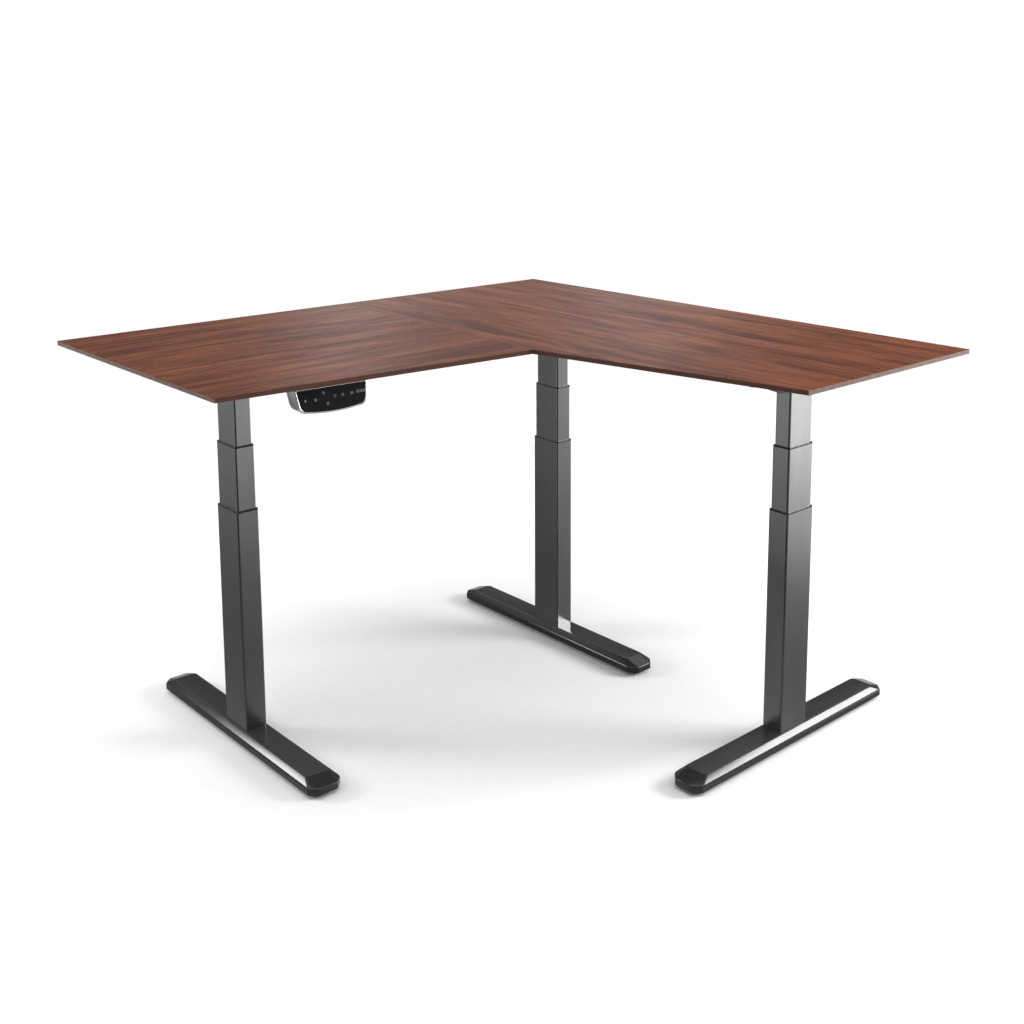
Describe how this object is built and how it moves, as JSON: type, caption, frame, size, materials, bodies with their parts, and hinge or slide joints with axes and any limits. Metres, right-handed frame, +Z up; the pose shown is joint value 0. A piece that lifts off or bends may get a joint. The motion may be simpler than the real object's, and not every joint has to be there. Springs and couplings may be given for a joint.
{
  "type": "height adjustable corner desk",
  "caption": "L-shaped walnut-look desktop on three motorised telescopic legs with long flat feet and a touch handset under the inner edge.",
  "frame": {"origin": "on the floor under the middle of the tabletop's bounding square", "axes": "+Z up; +X along the long wing, towards its free end; the return wing runs towards -Y on the -X side"},
  "size_m": [1.4, 1.4, 0.851],
  "materials": {
    "walnut": "satin oiled walnut",
    "leg_coat": "satin metallic gunmetal",
    "foot_coat": "satin charcoal",
    "frame_coat": "matte charcoal",
    "guide_plastic": "matte",
    "pad_plastic": "matte",
    "zinc_steel": "bright zinc",
    "motor_case": "satin black",
    "box_plastic": "fine grained black",
    "circuit_board": "solder mask",
    "handset_silver": "silver paint",
    "handset_glass": "glossy black",
    "cable_jacket": "matte black"
  },
  "bodies": {
    "corner_base": {"corner_foot": "foot_coat", "corner_base_bolts": "zinc_steel", "corner_outer_tube": "leg_coat", "corner_outer_collar": "guide_plastic", "corner_base_post": "zinc_steel"},
    "corner_middle": {"corner_middle_tube": "leg_coat", "corner_middle_collar": "guide_plastic", "corner_lift_tube": "zinc_steel"},
    "desk_top": {"tabletop_long": "walnut", "tabletop_return": "walnut", "joining_plates": "zinc_steel", "return_rails": "frame_coat", "long_rails": "frame_coat", "frame_bolts": "zinc_steel", "wood_screws": "zinc_steel", "control_box_case": "box_plastic", "control_box_lid": "box_plastic", "control_board": "circuit_board", "mains_inlet": "guide_plastic", "handset_body": "handset_silver", "handset_panel": "handset_glass", "cables": "cable_jacket", "cable_clips": "box_plastic", "left_inner_tube": "leg_coat", "left_motor": "motor_case", "left_head_bracket": "frame_coat", "corner_inner_tube": "leg_coat", "corner_motor": "motor_case", "corner_head_bracket": "frame_coat", "right_inner_tube": "leg_coat", "right_motor": "motor_case", "right_head_bracket": "frame_coat"},
    "left_middle": {"left_middle_tube": "leg_coat", "left_middle_collar": "guide_plastic", "left_lift_tube": "zinc_steel"},
    "left_base": {"left_foot": "foot_coat", "left_base_bolts": "zinc_steel", "left_outer_tube": "leg_coat", "left_outer_collar": "guide_plastic", "left_base_post": "zinc_steel"},
    "right_middle": {"right_middle_tube": "leg_coat", "right_middle_collar": "guide_plastic", "right_lift_tube": "zinc_steel"},
    "right_base": {"right_foot": "foot_coat", "right_base_bolts": "zinc_steel", "right_outer_tube": "leg_coat", "right_outer_collar": "guide_plastic", "right_base_post": "zinc_steel"},
    "left_drive_spindle": {"left_drive_spindle": "zinc_steel"},
    "left_hollow_spindle": {"left_hollow_spindle": "zinc_steel"},
    "left_leveller_front": {"left_leveller_front": "pad_plastic"},
    "left_leveller_rear": {"left_leveller_rear": "pad_plastic"},
    "corner_drive_spindle": {"corner_drive_spindle": "zinc_steel"},
    "corner_hollow_spindle": {"corner_hollow_spindle": "zinc_steel"},
    "corner_leveller_front": {"corner_leveller_front": "pad_plastic"},
    "corner_leveller_rear": {"corner_leveller_rear": "pad_plastic"},
    "right_drive_spindle": {"right_drive_spindle": "zinc_steel"},
    "right_hollow_spindle": {"right_hollow_spindle": "zinc_steel"},
    "right_leveller_front": {"right_leveller_front": "pad_plastic"},
    "right_leveller_rear": {"right_leveller_rear": "pad_plastic"}
  },
  "joints": [
    {"name": "lift", "type": "slide", "parent": "corner_base", "child": "corner_middle", "axis": [0, 0, 1], "range_m": [-0.12, 0.198]},
    {"name": "corner_upper_lift", "type": "slide", "parent": "corner_middle", "child": "desk_top", "axis": [0, 0, 1], "range_m": [-0.12, 0.198]},
    {"name": "left_upper_lift", "type": "slide", "parent": "desk_top", "child": "left_middle", "axis": [0, 0, 1], "range_m": [-0.198, 0.12]},
    {"name": "left_lower_lift", "type": "slide", "parent": "left_middle", "child": "left_base", "axis": [0, 0, 1], "range_m": [-0.198, 0.12]},
    {"name": "right_upper_lift", "type": "slide", "parent": "desk_top", "child": "right_middle", "axis": [0, 0, 1], "range_m": [-0.198, 0.12]},
    {"name": "right_lower_lift", "type": "slide", "parent": "right_middle", "child": "right_base", "axis": [0, 0, 1], "range_m": [-0.198, 0.12]},
    {"name": "left_drive_spindle_turn", "type": "hinge", "parent": "desk_top", "child": "left_drive_spindle", "pos_m": [-0.303, -0.491, 0.5], "axis": [0, 0, 1], "range_deg": [-2705, 4460]},
    {"name": "left_hollow_spindle_turn", "type": "hinge", "parent": "left_middle", "child": "left_hollow_spindle", "pos_m": [-0.303, -0.491, 0.5], "axis": [0, 0, 1], "range_deg": [-2705, 4460]},
    {"name": "left_leveller_front_adjust", "type": "slide", "parent": "left_base", "child": "left_leveller_front", "axis": [0, 0, -1], "range_m": [0, 0.01]},
    {"name": "left_leveller_rear_adjust", "type": "slide", "parent": "left_base", "child": "left_leveller_rear", "axis": [0, 0, -1], "range_m": [0, 0.01]},
    {"name": "corner_drive_spindle_turn", "type": "hinge", "parent": "desk_top", "child": "corner_drive_spindle", "pos_m": [-0.252, 0.368, 0.5], "axis": [0, 0, 1], "range_deg": [-2705, 4460]},
    {"name": "corner_hollow_spindle_turn", "type": "hinge", "parent": "corner_middle", "child": "corner_hollow_spindle", "pos_m": [-0.252, 0.368, 0.5], "axis": [0, 0, 1], "range_deg": [-2705, 4460]},
    {"name": "corner_leveller_front_adjust", "type": "slide", "parent": "corner_base", "child": "corner_leveller_front", "axis": [0, 0, -1], "range_m": [0, 0.01]},
    {"name": "corner_leveller_rear_adjust", "type": "slide", "parent": "corner_base", "child": "corner_leveller_rear", "axis": [0, 0, -1], "range_m": [0, 0.01]},
    {"name": "right_drive_spindle_turn", "type": "hinge", "parent": "desk_top", "child": "right_drive_spindle", "pos_m": [0.493, 0.37, 0.5], "axis": [0, 0, 1], "range_deg": [-2705, 4460]},
    {"name": "right_hollow_spindle_turn", "type": "hinge", "parent": "right_middle", "child": "right_hollow_spindle", "pos_m": [0.493, 0.37, 0.5], "axis": [0, 0, 1], "range_deg": [-2705, 4460]},
    {"name": "right_leveller_front_adjust", "type": "slide", "parent": "right_base", "child": "right_leveller_front", "axis": [0, 0, -1], "range_m": [0, 0.01]},
    {"name": "right_leveller_rear_adjust", "type": "slide", "parent": "right_base", "child": "right_leveller_rear", "axis": [0, 0, -1], "range_m": [0, 0.01]}
  ],
  "couplings": [
    {"joint": "corner_upper_lift", "follows": "lift", "ratio": 1},
    {"joint": "left_upper_lift", "follows": "lift", "ratio": -1},
    {"joint": "left_lower_lift", "follows": "lift", "ratio": -1},
    {"joint": "right_upper_lift", "follows": "lift", "ratio": -1},
    {"joint": "right_lower_lift", "follows": "lift", "ratio": -1},
    {"joint": "left_drive_spindle_turn", "follows": "lift", "rad_per_m": 392.7},
    {"joint": "left_hollow_spindle_turn", "follows": "lift", "rad_per_m": 392.7},
    {"joint": "corner_drive_spindle_turn", "follows": "lift", "rad_per_m": 392.7},
    {"joint": "corner_hollow_spindle_turn", "follows": "lift", "rad_per_m": 392.7},
    {"joint": "right_drive_spindle_turn", "follows": "lift", "rad_per_m": 392.7},
    {"joint": "right_hollow_spindle_turn", "follows": "lift", "rad_per_m": 392.7}
  ]
}
